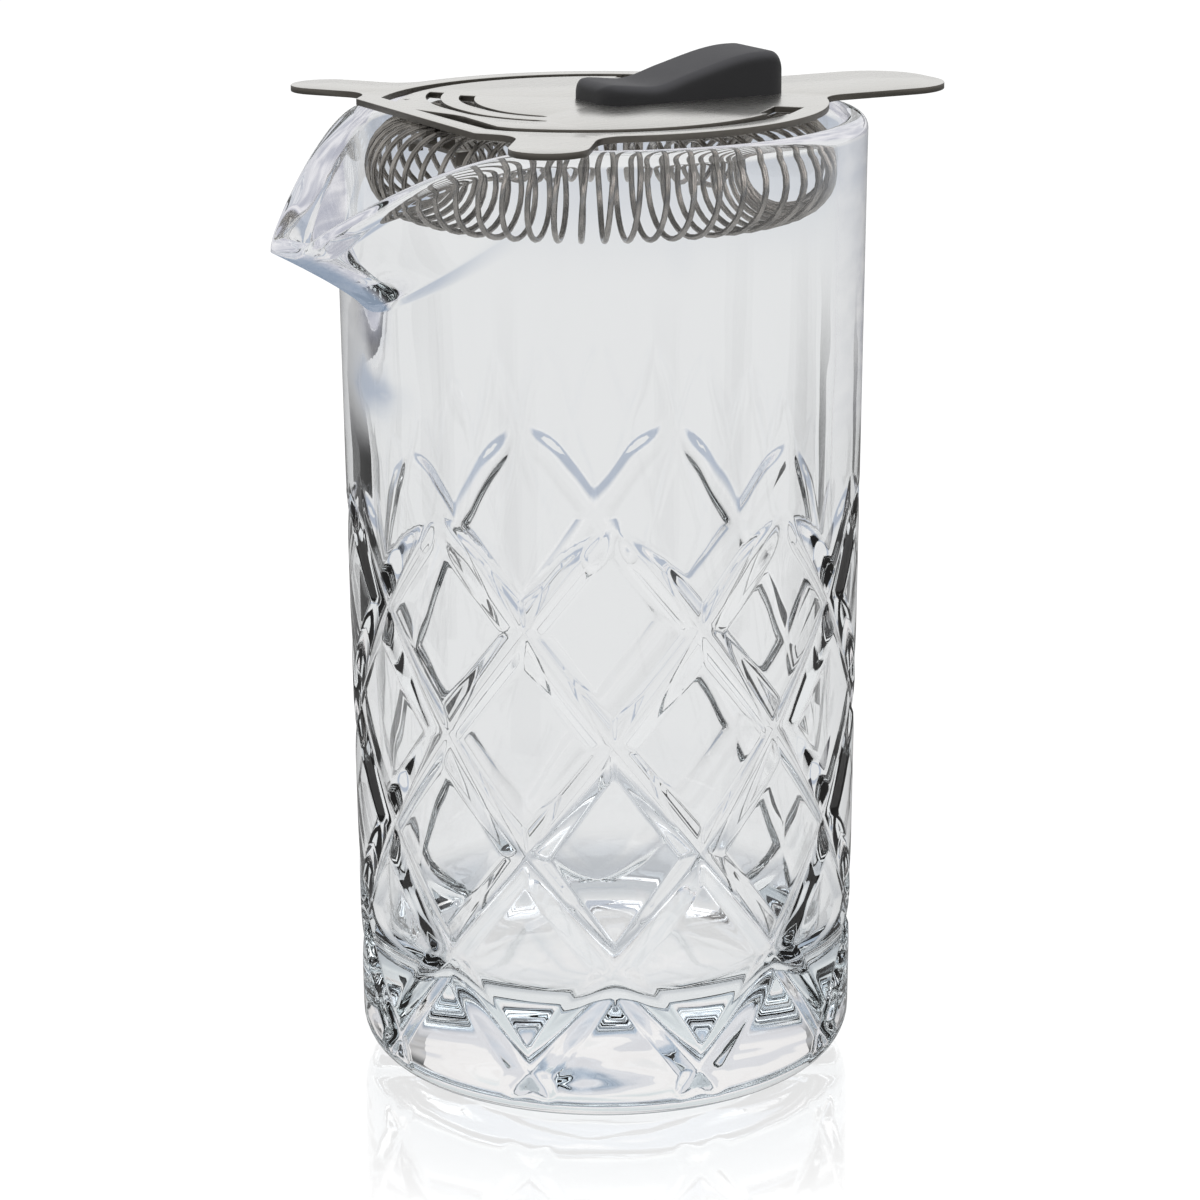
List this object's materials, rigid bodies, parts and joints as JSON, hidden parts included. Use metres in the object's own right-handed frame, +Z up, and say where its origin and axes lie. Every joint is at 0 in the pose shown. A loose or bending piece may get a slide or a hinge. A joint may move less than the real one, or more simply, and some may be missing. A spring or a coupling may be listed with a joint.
{
  "type": "cocktail mixing glass with strainer",
  "caption": "Heavy clear mixing glass with a pouring spout and a cut diamond lattice, with a coil-spring strainer lying on its rim.",
  "frame": {"origin": "centre of the flat base of the glass, on the surface it stands on", "axes": "+Z up along the axis of the glass; spout towards -X; strainer handle towards +X"},
  "size_m": [0.1363, 0.1061, 0.1843],
  "materials": {
    "clear_glass": "clear, fire polished, with cut grooves",
    "satin_steel": "satin stainless sheet with darker sheared edges",
    "keeper_steel": "plain stainless strip",
    "spring_wire": "drawn stainless spring wire",
    "black_rubber": "matt, fine grain",
    "rivet_steel": "domed stainless rivet"
  },
  "bodies": {
    "glass": {"mixing_glass": "clear_glass"},
    "spring": {"coil_spring": "spring_wire"},
    "strainer": {"strainer_plate": "satin_steel", "spring_keeper": "keeper_steel", "thumb_rest": "black_rubber", "thumb_rest_rivets": "rivet_steel"}
  },
  "joints": [
    {"name": "strainer_lift", "type": "slide", "parent": "glass", "child": "spring", "axis": [0, 0, 1], "range_m": [0, 0.06]},
    {"name": "gate_slide", "type": "slide", "parent": "spring", "child": "strainer", "axis": [-0.9968, 0.0802, 0], "range_m": [0, 0.0025], "stiffness_N_per_m": 400}
  ]
}
